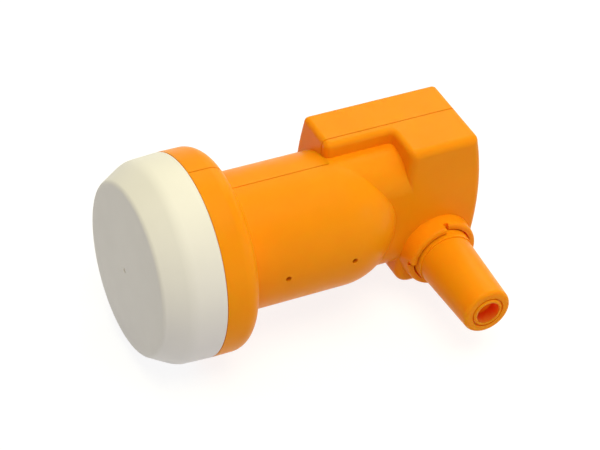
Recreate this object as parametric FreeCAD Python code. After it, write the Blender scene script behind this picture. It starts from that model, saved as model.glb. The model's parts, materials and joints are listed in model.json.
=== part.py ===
"""Single-output satellite LNB (low-noise block) with a 40 mm neck, as an assembly of separate pieces.

Frame: origin on the feed axis at the middle of the neck's clamp section.
+X runs back along the feed axis, away from the dish. The cable outlet points along -Y. +Z is up.
Millimetres throughout.
"""
import FreeCAD, Part
import math
import os

# Neck and collar of the housing
NECK_RADIUS = 20.0            # the 40 mm neck that LNB clamps are made for
CLAMP_LENGTH = 30.2           # plain neck between the collar's root and the box
COLLAR_LENGTH = 10.9          # from the cap's rim to the shoulder's rear face
SHOULDER_ROUND = 5.0
SHOULDER_FLAT = 2.0
ROOT_ROUND = 2.5
WALL = 2.0                    # moulded wall of the housing

# Box behind the neck
BOX_LENGTH = 45.6             # front wall to the crown of the rear wall
BOX_HALF_HEIGHT = 24.5
BOX_OUTLET_SIDE = 10.2        # feed axis to the flat face that carries the outlet
COVER_CROWN = 95.0            # radius of the gently bowed cover face
REAR_CROWN = 95.0             # radius of the bowed rear wall
SHELF_STEP = 2.15             # feed axis to the side wall of the narrow shelf ahead of the deep part
DOME_OFFSET = 0.7             # centre of the neck's domed end, behind the box's front wall
SADDLE_ROUND = 10.4           # corner radius of the neck where it runs flat into the box
EDGE_ROUND = 2.3              # moulded edges of the outlet's face
STEP_ROUND = 1.6              # moulded edges of the shelf and of the deep part's upper front edge
LOWER_FRONT_ROUND = 4.6       # the deep part's lower front edge, under the neck
COVER_ROUND = 1.6             # moulded edges of the cover half

# Parting line between the two halves of the housing
PARTING_BOX = 5.07            # parting plane of the box, off the feed axis
TONGUE = 1.5                  # lap of the connector half inside the cover half
TONGUE_CLEARANCE = 0.1
SEAM_WIDTH = 0.3
SEAM_DEPTH = 0.5

# Weep holes in the neck
WEEP_RADIUS = 0.85
WEEP_SPACING = 20.7
WEEP_FIRST = -5.6

# Feed cap
CAP_DEPTH = 17.8              # rim to the middle of the face
CAP_FACE_RISE = 0.6           # doming of the face
CAP_CONE = 2.9                # growth of the radius over the conical edge
CAP_FACE_ROUND = 5.0
CAP_BAND = 9.6                # length of the nearly straight band beside the rim
CAP_BAND_DRAFT = 0.4          # growth of the radius along that band
CAP_BAND_ROUND = 10.0
CAP_WALL = 1.6
CAP_LEDGE = 3.0               # thick ring inside the rim, where the sleeve starts
CAP_SLEEVE_WALL = 1.5         # inner sleeve that reaches into the collar
CAP_GATE_RADIUS = 0.7         # moulding gate mark in the middle of the face
CAP_GATE_DEPTH = 0.3
FIT_CLEARANCE = 0.2           # between pieces that slide together and stay put

# Feed casting: corrugated horn, circular waveguide and board tray
GUIDE_RADIUS = 8.75           # 17.5 mm circular waveguide for 10.7 to 12.75 GHz
GUIDE_WALL = 1.6
GUIDE_DOME_GAP = 0.85         # waveguide's end corner to the inside of the neck's dome
GUIDE_MOUTH_DEPTH = 7.1       # mouth of the waveguide behind the innermost ring's edge
BACK_SHORT = 1.5              # end wall of the waveguide
HORN_CAP_GAP = 1.6            # horn's front edge to the inside of the cap
HORN_RIM_STEP = 1.6           # rim of the horn, proud of its outer ring
HORN_RING_WALL = 1.3
HORN_RING_PITCH = 5.1         # radial distance from one choke ring to the next
HORN_RING_STEP = 5.2          # each ring stands this far ahead of the next one inwards
HORN_RINGS = 3
HORN_GROOVE_DEPTH = 11.0
HORN_BACK_WALL = 3.0
SEAL_SECTION = 1.7            # section of the cap's sealing ring
SEAL_PLACE = 3.0              # middle of the sealing ring behind the cap's rim
SEAL_PLAY = 0.02
RIB_LENGTH = 2.0              # ribs that centre the casting in the neck
RIB_CLEARANCE = 0.3
RIB_SPACING = 18.0

TRAY_CLEARANCE = 0.5          # front of the tray behind the shelf's inner wall
TRAY_REAR_GAP = 1.2           # rear corners of the tray to the housing's inside
TRAY_SIDE_GAP = 3.1           # sides of the tray to the housing's inside
TRAY_WALL = 1.5
TRAY_DEPTH = 4.1
TRAY_FLOOR = 1.6
GUIDE_COVER = 1.15            # metal left between the waveguide and the board
SCREW_BOSS_RADIUS = 2.4
SCREW_RADIUS = 0.9
SCREW_HEAD_RADIUS = 1.8
SCREW_HEAD = 0.8
SCREW_LENGTH = 3.6

# Board and what it carries
BOARD_THICKNESS = 0.8
BOARD_CLEARANCE = 0.4
PROBE_RADIUS = 0.6
PROBE_SLEEVE_RADIUS = 1.6
PROBE_TIP = 4.5               # distance of each probe's tip from the feed axis
PROBE_STAND = 0.3             # how far pins stand out of the board
PROBE_FROM_SHORT = 6.0        # probes to the waveguide's end wall
BENT_PROBE_OFFSET = 13.4      # where the bent probe goes down beside the waveguide
BENT_PROBE_BEND = 1.6         # bend radius of that probe's middle line
PROBE_BLOCK = 2.8             # radius of the cast block around the bent probe's entry

# Components on the board: transistors and bias capacitors are placed from the probes, the inductor from
# the connector's contact, the others from the lid's cross rib; sides are off the feed axis
TRANSISTOR_BODY = 1.8
TRANSISTOR_HEIGHT = 0.5
TRANSISTOR_LEAD_SPAN = 4.2
TRANSISTOR_LEAD_WIDTH = 0.6
TRANSISTOR_LEAD = 0.12
TRANSISTOR_LID_RADIUS = 0.75
TRANSISTOR_LID_HEIGHT = 0.8
FIRST_STAGE_PLACE = 4.6
BENT_STAGE_SHIFT = 1.6        # the bent probe's transistor lies this far in from its pin
SECOND_STAGE_PLACE = 8.2
SECOND_STAGE_SIDE = 4.2
CONVERTER_SIZE = 5.0
CONVERTER_HEIGHT = 0.9
CONVERTER_CORNER = 0.6        # rounded notch at the first pin
CONVERTER_PLACE = 5.0
CONVERTER_SIDE = 3.4
CRYSTAL_LENGTH = 3.2
CRYSTAL_WIDTH = 2.5
CRYSTAL_BASE = 0.4
CRYSTAL_HEIGHT = 0.9
CRYSTAL_CAN_INSET = 0.15
CRYSTAL_PLACE = 11.8
CRYSTAL_SIDE = 6.4
REGULATOR_LENGTH = 4.5
REGULATOR_WIDTH = 2.5
REGULATOR_HEIGHT = 1.4
REGULATOR_TAB_LENGTH = 1.8
REGULATOR_TAB_REACH = 1.0
REGULATOR_TAB = 0.4
REGULATOR_LEAD_PITCH = 1.5
REGULATOR_LEAD_WIDTH = 0.5
REGULATOR_LEAD_REACH = 1.1
REGULATOR_LEAD = 0.3
REGULATOR_PLACE = 4.4
REGULATOR_SIDE = -4.6
INDUCTOR_LENGTH = 2.5
INDUCTOR_WIDTH = 1.8
INDUCTOR_HEIGHT = 1.3
INDUCTOR_END = 0.5
INDUCTOR_WAIST = 0.25         # winding lies this far inside the end plates
INDUCTOR_FROM_CONTACT = 5.6
CAPACITOR_LENGTH = 0.8
CAPACITOR_WIDTH = 1.6
CAPACITOR_HEIGHT = 0.8
CAPACITOR_PITCH = 1.9
OUTPUT_CAPACITORS = 5
OUTPUT_CAPACITOR_PLACE = 2.8
OUTPUT_CAPACITOR_SIDE = 11.6
BIAS_CAPACITORS = 4
BIAS_CAPACITOR_PLACE = 1.0
BIAS_CAPACITOR_SIDE = -7.0

# Lid of the tray
GASKET_HEIGHT = 0.6
LID_THICKNESS = 1.0
LID_GAP = 0.35                # lid's long edges to the inside of the cover face
LID_RIB = 1.2
LID_RIB_CLEARANCE = 0.2
CROSS_RIB_FROM_REAR = 19.85   # front of the rib across the tray, from the tray's rear
CROSS_RIB_LENGTH = 13.0
LONG_RIB_PLACE = 2.0          # start of the rib along the tray, behind the probes
LONG_RIB_SIDE = 7.6           # that rib to the side of the feed axis
ABSORBER_THICKNESS = 0.8
ABSORBER_GAP = 0.8            # absorber pad behind the cross rib
ABSORBER_LENGTH = 12.0
ABSORBER_WIDTH = 16.0

# Outlet: collar on the housing, connector and weather boot
OUTLET_REAR_MARGIN = 1.8      # collar's base to the crown of the rear wall
OUTLET_LOWER_MARGIN = 0.8     # collar's base to the bottom of the box
OUTLET_FRONT_MARGIN = 0.3     # collar's base to the front wall of the box's deep part
OUTLET_BASE_RADIUS = 11.3
OUTLET_RIM_RADIUS = 10.9
OUTLET_SOCKET_RADIUS = 9.3
OUTLET_LOW_RIM = 4.2
OUTLET_TALL_RIM = 5.7
OUTLET_TALL_START = 92.0      # the tall quarter of the rim, in degrees from +X towards +Z
OUTLET_TALL_SWEEP = 87.0
OUTLET_TALL_END_ROUND = 1.1   # rounded ends of the tall quarter, seen along the outlet
OUTLET_SLOT_WIDTH = 1.2
OUTLET_SLOT_DEPTH = 2.4
OUTLET_RIM_ROUND = 1.0

THREAD_RADIUS = 4.76          # 3/8-32 UNEF, the F connector's thread
THREAD_LENGTH = 12.0          # thread clear of the housing's face
THREAD_CHAMFER = 0.5
CONNECTOR_SHANK_RADIUS = 5.3  # plain shank through the housing's wall
CONNECTOR_BORE = 3.6
CONNECTOR_FLANGE_RADIUS = 7.2
CONNECTOR_FLANGE = 2.0
CONNECTOR_SPIGOT_RADIUS = 5.0
CONNECTOR_SPIGOT = 7.0
CONNECTOR_BOSS_WALL = 2.4
CONNECTOR_SEAL_SECTION = 1.2
CONNECTOR_HOLE_CLEARANCE = 0.3
CONTACT_RADIUS = 1.0
CONTACT_SOCKET_RADIUS = 0.5
CONTACT_SOCKET_DEPTH = 9.0
CONTACT_RECESS = 0.8
CONTACT_HOLE_CLEARANCE = 1.2
PIN_HOLE_CLEARANCE = 0.1

BOOT_GAP = 0.4                # ring-shaped gap between the boot's flange and the collar
BOOT_SEAT = 1.6               # depth of the socket left under the boot
BOOT_FLANGE_END = 7.0         # end of the boot's flange, from the housing's face
BOOT_FLANGE_TAPER = 0.2
BOOT_FLANGE_STEP = 0.55       # radius of the flange over the boot's tapered body
BOOT_TIP_FLAT = 1.2           # flat ring between the lip's groove and the tip's round
BOOT_LENGTH = 31.0            # end face of the boot from the housing's face
BOOT_TIP_ROUND = 1.2
BOOT_WALL = 1.5
BOOT_TIP_WALL = 4.0
CABLE_HOLE_RADIUS = 3.65
LIP_WIDTH = 0.85              # raised lip round the cable hole
LIP_RISE = 0.3
LIP_GROOVE = 0.45
LIP_GROOVE_DEPTH = 0.6

# Places and sizes that follow from the ones above
COLLAR_RADIUS = NECK_RADIUS + ROOT_ROUND + SHOULDER_FLAT + SHOULDER_ROUND
BOX_FRONT = CLAMP_LENGTH / 2
SHOULDER = -CLAMP_LENGTH / 2 - ROOT_ROUND
RIM = SHOULDER - COLLAR_LENGTH
BOX_REAR = BOX_FRONT + BOX_LENGTH
DOME = BOX_FRONT + DOME_OFFSET
INNER_NECK = NECK_RADIUS - WALL

CAP_FACE = RIM - CAP_DEPTH
CAP_BAND_RADIUS = COLLAR_RADIUS - CAP_BAND_DRAFT
CAP_FACE_RADIUS = CAP_BAND_RADIUS - CAP_CONE
CAP_BAND_X = RIM - CAP_BAND
CAP_EDGE_X = CAP_FACE + CAP_FACE_RISE
CAP_INNER_X = CAP_EDGE_X + CAP_WALL
CAP_INNER_RADIUS = CAP_FACE_RADIUS - CAP_WALL / 2
CAP_INNER_SLOPE = (CAP_BAND_RADIUS - CAP_WALL - CAP_INNER_RADIUS) / (CAP_BAND_X - CAP_INNER_X)
SLEEVE_OUTER = COLLAR_RADIUS - WALL - FIT_CLEARANCE
SLEEVE_INNER = SLEEVE_OUTER - CAP_SLEEVE_WALL
SLEEVE_END = SHOULDER - SHOULDER_ROUND - FIT_CLEARANCE

HORN_RIM_RADIUS = SLEEVE_INNER - FIT_CLEARANCE
HORN_RADIUS = HORN_RIM_RADIUS - HORN_RIM_STEP
HORN_IN_CONE = CAP_INNER_X + (HORN_RADIUS + HORN_CAP_GAP - CAP_INNER_RADIUS) / CAP_INNER_SLOPE
HORN_FRONT = max(CAP_INNER_X + HORN_CAP_GAP, HORN_IN_CONE)
GUIDE_OUTER = GUIDE_RADIUS + GUIDE_WALL
GUIDE_MOUTH = HORN_FRONT + (HORN_RINGS - 1) * HORN_RING_STEP + GUIDE_MOUTH_DEPTH
SHORT_X = DOME + math.sqrt((INNER_NECK - GUIDE_DOME_GAP) ** 2 - (GUIDE_OUTER - BACK_SHORT) ** 2)
GUIDE_END = SHORT_X - BACK_SHORT
PROBE_X = GUIDE_END - PROBE_FROM_SHORT
PROBE_ENTRY_END = BENT_PROBE_OFFSET - BENT_PROBE_BEND - FIT_CLEARANCE

TRAY_HALF_WIDTH = BOX_HALF_HEIGHT - WALL - TRAY_SIDE_GAP
TRAY_FRONT = BOX_FRONT + WALL + TRAY_CLEARANCE
REAR_DROP = REAR_CROWN - math.sqrt((REAR_CROWN - WALL) ** 2 - TRAY_HALF_WIDTH ** 2)
TRAY_REAR = BOX_REAR - REAR_DROP - TRAY_REAR_GAP
BOARD_Y = GUIDE_RADIUS + GUIDE_COVER
BOARD_TOP = BOARD_Y + BOARD_THICKNESS
PIN_TOP = BOARD_TOP + PROBE_STAND
TRAY_TOP = BOARD_Y + TRAY_DEPTH
LID_Y = TRAY_TOP + GASKET_HEIGHT
LID_TOP = LID_Y + LID_THICKNESS
COVER_DROP = COVER_CROWN - math.sqrt((COVER_CROWN - WALL) ** 2 - TRAY_HALF_WIDTH ** 2)
BOX_COVER_SIDE = LID_TOP + LID_GAP + COVER_DROP
CROSS_RIB_X = TRAY_REAR - CROSS_RIB_FROM_REAR

OUTLET_X = BOX_REAR - OUTLET_REAR_MARGIN - OUTLET_BASE_RADIUS
OUTLET_Z = OUTLET_LOWER_MARGIN + OUTLET_BASE_RADIUS - BOX_HALF_HEIGHT
DEEP_FRONT = OUTLET_X - OUTLET_BASE_RADIUS - OUTLET_FRONT_MARGIN
OUTLET_FACE = -BOX_OUTLET_SIDE
THREAD_END = OUTLET_FACE - THREAD_LENGTH
FLANGE_FRONT = OUTLET_FACE + WALL + CONNECTOR_SEAL_SECTION
FLANGE_REAR = FLANGE_FRONT + CONNECTOR_FLANGE
SPIGOT_END = FLANGE_REAR + CONNECTOR_SPIGOT
BOOT_FLANGE_RADIUS = OUTLET_SOCKET_RADIUS - BOOT_GAP
BOOT_BASE_RADIUS = BOOT_FLANGE_RADIUS - BOOT_FLANGE_STEP
LIP_RADIUS = CABLE_HOLE_RADIUS + LIP_WIDTH
LIP_GROOVE_RADIUS = LIP_RADIUS + LIP_GROOVE
BOOT_TIP_RADIUS = LIP_GROOVE_RADIUS + BOOT_TIP_FLAT + BOOT_TIP_ROUND
FAR = 200.0                   # reach of cutting blocks, beyond everything

X_AXIS = FreeCAD.Vector(1, 0, 0)
Y_AXIS = FreeCAD.Vector(0, 1, 0)
Z_AXIS = FreeCAD.Vector(0, 0, 1)
ORIGIN = FreeCAD.Vector(0, 0, 0)
OUTLET = FreeCAD.Vector(OUTLET_X, 0, OUTLET_Z)


# Drawing helpers
def feed_plane(x, r):
    """Half plane through the feed axis."""
    return FreeCAD.Vector(x, 0, r)


def outlet_plane(r, y):
    """Half plane through the outlet's axis."""
    return FreeCAD.Vector(OUTLET_X + r, y, OUTLET_Z)


def side_plane(x, z):
    """The plane of the box's side outline."""
    return FreeCAD.Vector(x, 0, z)


def drawn_edges(plane, start, *steps):
    """Closed outline of straight steps (u, v) and arc steps ((u, v), (u, v)): via point and end."""
    edges = []
    here = start
    for step in steps + (start,):
        if isinstance(step[0], tuple):
            via, there = step
            edges.append(Part.Arc(plane(*here), plane(*via), plane(*there)).toShape())
        else:
            there = step
            edges.append(Part.LineSegment(plane(*here), plane(*there)).toShape())
        here = there
    return edges


def drawn_face(plane, start, *steps):
    """Flat face inside a drawn outline."""
    return Part.Face(Part.Wire(drawn_edges(plane, start, *steps)))


def rounded_after(edges, index, radius):
    """Outline in the XZ plane with the corner after one of its edges rounded."""
    tool = Part.ChFi2d.FilletAPI(edges[index], edges[index + 1], Part.Plane(ORIGIN, Y_AXIS))
    tool.perform(radius)
    arc, before, after = tool.result(edges[index].lastVertex().Point)
    return edges[:index] + [before, arc, after] + edges[index + 2:]


def on_circle(u, v, radius, degrees):
    """Point of a circle about (u, v)."""
    angle = math.radians(degrees)
    return (u + radius * math.cos(angle), v + radius * math.sin(angle))


def dome_via(tip, rise, radius):
    """Point on a spherical dome on the feed axis, half way from its tip to its edge."""
    sphere = (radius ** 2 + rise ** 2) / (2 * rise)
    half_angle = math.degrees(math.asin(radius / sphere)) / 2
    return on_circle(tip + sphere, 0.0, sphere, 180 - half_angle)


def turned_on_feed(start, *steps):
    """Solid of revolution about the feed axis."""
    return drawn_face(feed_plane, start, *steps).revolve(ORIGIN, X_AXIS, 360)


def turned_on_outlet(start, *steps):
    """Solid of revolution about the outlet's axis."""
    return drawn_face(outlet_plane, start, *steps).revolve(OUTLET, Y_AXIS, 360)


def block(low, high):
    """Box from its lowest to its highest corner."""
    size = [high[i] - low[i] for i in range(3)]
    return Part.makeBox(size[0], size[1], size[2], FreeCAD.Vector(*low))


def rod(start, axis, radius, length):
    return Part.makeCylinder(radius, length, FreeCAD.Vector(*start), axis)


def outlet_rod(y, radius, length):
    """Cylinder on the outlet's axis, from y towards +Y."""
    return rod((OUTLET_X, y, OUTLET_Z), Y_AXIS, radius, length)


def fused(first, *others):
    return first.fuse(list(others)).removeSplitter()


def near(a, b):
    return abs(a - b) < 1e-4


def edges_where(shape, test):
    """Edges whose middle point passes the test."""
    found = []
    for edge in shape.Edges:
        middle = edge.valueAt((edge.FirstParameter + edge.LastParameter) / 2)
        if test(middle):
            found.append(edge)
    return found


# Housing form, at its outside or set in by part of the wall
def neck_form(inset):
    """Collar, shoulder, neck and domed end, turned on the feed axis."""
    collar = COLLAR_RADIUS - inset
    neck = NECK_RADIUS - inset
    round_x = SHOULDER - SHOULDER_ROUND
    round_r = COLLAR_RADIUS - SHOULDER_ROUND
    root_x = SHOULDER + ROOT_ROUND
    root_r = NECK_RADIUS + ROOT_ROUND
    return turned_on_feed(
        (RIM, 0.0),
        (RIM, collar),
        (round_x, collar),
        (on_circle(round_x, round_r, SHOULDER_ROUND - inset, 45), (SHOULDER - inset, round_r)),
        (SHOULDER - inset, root_r),
        (on_circle(root_x, root_r, ROOT_ROUND + inset, 225), (root_x, neck)),
        (DOME, neck),
        (on_circle(DOME, 0.0, neck, 45), (DOME + neck, 0.0)),
    )


def saddle_form(inset):
    """The neck's run into the box, flattened to the outlet's face with large corners."""
    neck = NECK_RADIUS - inset
    corner = SADDLE_ROUND - inset
    centre_y = SADDLE_ROUND - BOX_OUTLET_SIDE
    centre_z = math.sqrt((NECK_RADIUS - SADDLE_ROUND) ** 2 - centre_y ** 2)
    lean = math.degrees(math.atan2(centre_z, centre_y))
    flat_y = centre_y - corner
    top = on_circle(0.0, 0.0, neck, lean)
    bottom = (top[0], -top[1])
    upper_via = on_circle(centre_y, centre_z, corner, (lean + 180.0) / 2)
    lower_via = (upper_via[0], -upper_via[1])

    def section(y, z):
        return FreeCAD.Vector(DOME, y, z)

    face = drawn_face(
        section,
        (flat_y, -centre_z),
        (lower_via, bottom),
        ((neck, 0.0), top),
        (upper_via, (flat_y, centre_z)),
    )
    return face.extrude(FreeCAD.Vector(DEEP_FRONT + WALL - DOME, 0, 0))


def box_outline(front, inset):
    """Side outline of the box from a front wall to the bowed rear wall."""
    half = BOX_HALF_HEIGHT - inset
    radius = REAR_CROWN - inset
    centre = BOX_REAR - REAR_CROWN
    edge_x = centre + math.sqrt(radius ** 2 - half ** 2)
    return drawn_face(
        side_plane,
        (front + inset, -half),
        (edge_x, -half),
        ((centre + radius, 0.0), (edge_x, half)),
        (front + inset, half),
    )


def box_form(inset):
    """Deep rear part and shelf of the box, with the bowed cover face."""
    shelf = box_outline(BOX_FRONT, inset).extrude(Y_AXIS * BOX_COVER_SIDE)
    shelf.translate(Y_AXIS * (SHELF_STEP + inset))
    deep = box_outline(DEEP_FRONT, inset).extrude(Y_AXIS * (BOX_COVER_SIDE + BOX_OUTLET_SIDE))
    deep.translate(Y_AXIS * (inset - BOX_OUTLET_SIDE))
    crown = rod((-FAR, BOX_COVER_SIDE - COVER_CROWN, 0), X_AXIS, COVER_CROWN - inset, 2 * FAR)
    return fused(shelf, deep).common(crown)


def rounded_box():
    """The outside of the box with its moulded edges rounded."""
    half = BOX_HALF_HEIGHT
    crown_y = BOX_COVER_SIDE - COVER_CROWN

    def across_edge(p):
        at_wall = near(p.x, BOX_FRONT) or p.x > OUTLET_X
        between_faces = -BOX_OUTLET_SIDE < p.y < BOX_COVER_SIDE - EDGE_ROUND
        return near(abs(p.z), half) and at_wall and between_faces and not near(p.y, SHELF_STEP)

    def lower_front_edge(p):
        return near(p.x, DEEP_FRONT) and near(p.z, -half)

    def step_edge(p):
        ahead_of_deep = p.x < DEEP_FRONT or near(p.x, DEEP_FRONT)
        on_shelf = near(p.y, SHELF_STEP) and ahead_of_deep
        on_deep_front = near(p.x, DEEP_FRONT) and near(p.z, half)
        return on_shelf or on_deep_front

    def outlet_face_edge(p):
        return near(p.y, -BOX_OUTLET_SIDE)

    def cover_edge(p):
        return near(math.hypot(p.y - crown_y, p.z), COVER_CROWN)

    box = box_form(0.0)
    box = box.makeFillet(COVER_ROUND, edges_where(box, across_edge))
    box = box.makeFillet(LOWER_FRONT_ROUND, edges_where(box, lower_front_edge))
    box = box.makeFillet(STEP_ROUND, edges_where(box, step_edge))
    box = box.makeFillet(EDGE_ROUND, edges_where(box, outlet_face_edge))
    return box.makeFillet(COVER_ROUND, edges_where(box, cover_edge))


def housing_form(inset):
    """The whole housing without rounded box edges, set in from the outside."""
    return fused(neck_form(inset), saddle_form(inset), box_form(inset))


def beyond_parting(depth, clearance=0.0):
    """Slab on the cover side of the stepped parting line."""
    neck_low = (-FAR, -clearance, -FAR)
    neck_high = (BOX_FRONT, depth, FAR)
    box_low = (BOX_FRONT, PARTING_BOX - clearance, -FAR)
    box_high = (FAR, PARTING_BOX + depth, FAR)
    return fused(block(neck_low, neck_high), block(box_low, box_high))


def outlet_collar():
    """Collar round the connector, with a taller round-ended quarter between two slots."""
    inner = OUTLET_FACE + WALL
    slope = (OUTLET_BASE_RADIUS - OUTLET_RIM_RADIUS) / OUTLET_TALL_RIM
    slot_height = OUTLET_TALL_RIM - OUTLET_SLOT_DEPTH
    wall_middle = (OUTLET_BASE_RADIUS - slope * slot_height + OUTLET_SOCKET_RADIUS) / 2

    def ring(height):
        edge = OUTLET_BASE_RADIUS - slope * height
        rim = OUTLET_FACE - height
        soft = OUTLET_RIM_ROUND
        return drawn_face(
            outlet_plane,
            (0.0, inner),
            (OUTLET_BASE_RADIUS, inner),
            (OUTLET_BASE_RADIUS, OUTLET_FACE),
            (edge, rim + soft),
            (on_circle(edge - soft, rim + soft, soft, 315), (edge - soft, rim)),
            (0.0, rim),
        )

    low = ring(OUTLET_LOW_RIM).revolve(OUTLET, Y_AXIS, 360)
    quarter = ring(OUTLET_TALL_RIM)
    quarter.rotate(OUTLET, Y_AXIS, -OUTLET_TALL_START)
    collar = fused(low, quarter.revolve(OUTLET, Y_AXIS, -OUTLET_TALL_SWEEP))
    tall_end = OUTLET_TALL_START + OUTLET_TALL_SWEEP
    for angle, side in ((OUTLET_TALL_START, -1), (tall_end, 1)):
        end_z = -side * OUTLET_TALL_END_ROUND
        low_z, high_z = sorted((side * OUTLET_SLOT_WIDTH, end_z))
        slot_low = (0.0, OUTLET_FACE - FAR, low_z)
        slot = block(slot_low, (OUTLET_BASE_RADIUS, OUTLET_FACE - slot_height, high_z))
        rounded_end = rod((wall_middle, OUTLET_FACE - FAR, end_z), Y_AXIS, OUTLET_TALL_END_ROUND, FAR)
        slot = slot.cut(rounded_end)
        slot.rotate(ORIGIN, Y_AXIS, -angle)
        slot.translate(OUTLET)
        collar = collar.cut(slot)
    return collar


def housing_halves():
    """Connector half and cover half of the moulded housing."""
    outside = fused(neck_form(0.0), saddle_form(0.0), rounded_box())
    hollow = housing_form(WALL)
    cover_space = beyond_parting(FAR)
    shell = outside.cut(hollow)

    groove = beyond_parting(0.0, SEAM_WIDTH).cut(housing_form(SEAM_DEPTH))
    tongue = housing_form(WALL / 2).cut(hollow).common(beyond_parting(TONGUE))
    connector_half = fused(shell.cut(cover_space).cut(groove), tongue, outlet_collar().cut(hollow))
    socket = outlet_rod(OUTLET_FACE - FAR, OUTLET_SOCKET_RADIUS, FAR)
    hole = outlet_rod(OUTLET_FACE, CONNECTOR_SHANK_RADIUS + CONNECTOR_HOLE_CLEARANCE, WALL)
    connector_half = connector_half.cut(fused(socket, hole))
    for place in (WEEP_FIRST, WEEP_FIRST + WEEP_SPACING):
        weep = rod((place, -NECK_RADIUS - WALL, 0), Y_AXIS, WEEP_RADIUS, 2 * WALL + WEEP_RADIUS)
        connector_half = connector_half.cut(weep)

    recess = housing_form(WALL / 2 - TONGUE_CLEARANCE).common(beyond_parting(TONGUE + TONGUE_CLEARANCE))
    cover_half = shell.common(cover_space).cut(recess)
    return connector_half, cover_half


# Front end
def cap_form(inset):
    """Domed face, conical edge and band of the cap, at its outside or set in by the wall."""
    tip = CAP_FACE + inset
    face_radius = CAP_FACE_RADIUS - inset / 2
    outline = drawn_edges(
        feed_plane,
        (tip, 0.0),
        (dome_via(tip, CAP_FACE_RISE, face_radius), (CAP_EDGE_X + inset, face_radius)),
        (CAP_BAND_X, CAP_BAND_RADIUS - inset),
        (RIM, COLLAR_RADIUS - inset),
        (RIM, 0.0),
    )
    outline = rounded_after(outline, 1, CAP_BAND_ROUND - inset)
    outline = rounded_after(outline, 0, CAP_FACE_ROUND - inset)
    return Part.Face(Part.Wire(outline)).revolve(ORIGIN, X_AXIS, 360)


def feed_cap():
    """Cap over the horn, with a ledge inside its rim and a sleeve that reaches into the collar."""
    ledge = (RIM - CAP_LEDGE, 0, 0)
    sleeve = rod((RIM, 0, 0), X_AXIS, SLEEVE_OUTER, SLEEVE_END - RIM)
    bore = rod(ledge, X_AXIS, SLEEVE_INNER, SLEEVE_END - RIM + CAP_LEDGE)
    hollow = cap_form(CAP_WALL).cut(rod(ledge, X_AXIS, COLLAR_RADIUS, CAP_LEDGE))
    gate_start = (CAP_FACE - CAP_GATE_DEPTH, 0, 0)
    gate = rod(gate_start, X_AXIS, CAP_GATE_RADIUS, 2 * CAP_GATE_DEPTH)
    return fused(cap_form(0.0), sleeve).cut(fused(hollow, bore)).cut(gate)


def cap_seal():
    middle = SLEEVE_INNER - SEAL_PLAY - SEAL_SECTION / 2
    return Part.makeTorus(middle, SEAL_SECTION / 2, FreeCAD.Vector(RIM + SEAL_PLACE, 0, 0), X_AXIS)


# Feed casting
def horn_and_guide():
    """Corrugated horn and closed circular waveguide, turned on the feed axis."""
    rim_front = RIM - CAP_LEDGE
    groove_x = HORN_FRONT + (HORN_RINGS - 2) * HORN_RING_STEP + HORN_GROOVE_DEPTH
    rim_back = groove_x + HORN_BACK_WALL
    steps = [
        (rim_front, HORN_RADIUS),
        (rim_front, HORN_RIM_RADIUS),
        (rim_back, HORN_RIM_RADIUS),
        (rim_back, GUIDE_OUTER + HORN_BACK_WALL),
        (rim_back + HORN_BACK_WALL, GUIDE_OUTER),
        (GUIDE_END, GUIDE_OUTER),
        (SHORT_X, GUIDE_OUTER - BACK_SHORT),
        (SHORT_X, 0.0),
        (GUIDE_END, 0.0),
        (GUIDE_END, GUIDE_RADIUS),
        (GUIDE_MOUTH, GUIDE_RADIUS),
    ]
    floor_x = GUIDE_MOUTH
    for ring in reversed(range(HORN_RINGS)):
        ring_r = HORN_RADIUS - ring * HORN_RING_PITCH
        ring_x = HORN_FRONT + ring * HORN_RING_STEP
        steps.append((floor_x, ring_r - HORN_RING_WALL))
        steps.append((ring_x, ring_r - HORN_RING_WALL))
        if ring:
            floor_x = ring_x - HORN_RING_STEP + HORN_GROOVE_DEPTH
            steps.append((ring_x, ring_r))
            steps.append((floor_x, ring_r))
    horn = turned_on_feed((HORN_FRONT, HORN_RADIUS), *steps)
    groove_r = SLEEVE_INNER - 2 * SEAL_PLAY - SEAL_SECTION
    groove_width = SEAL_SECTION + FIT_CLEARANCE
    groove_start = (RIM + SEAL_PLACE - groove_width / 2, 0, 0)
    core = rod(groove_start, X_AXIS, groove_r, groove_width)
    return horn.cut(rod(groove_start, X_AXIS, FAR, groove_width).cut(core))


def screw_places():
    """Lid screws at the corners and the middle of the tray's long sides."""
    inset = SCREW_BOSS_RADIUS
    along = (TRAY_FRONT + inset, (TRAY_FRONT + TRAY_REAR) / 2, TRAY_REAR - inset)
    return [(x, side * (TRAY_HALF_WIDTH - inset)) for x in along for side in (-1, 1)]


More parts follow.
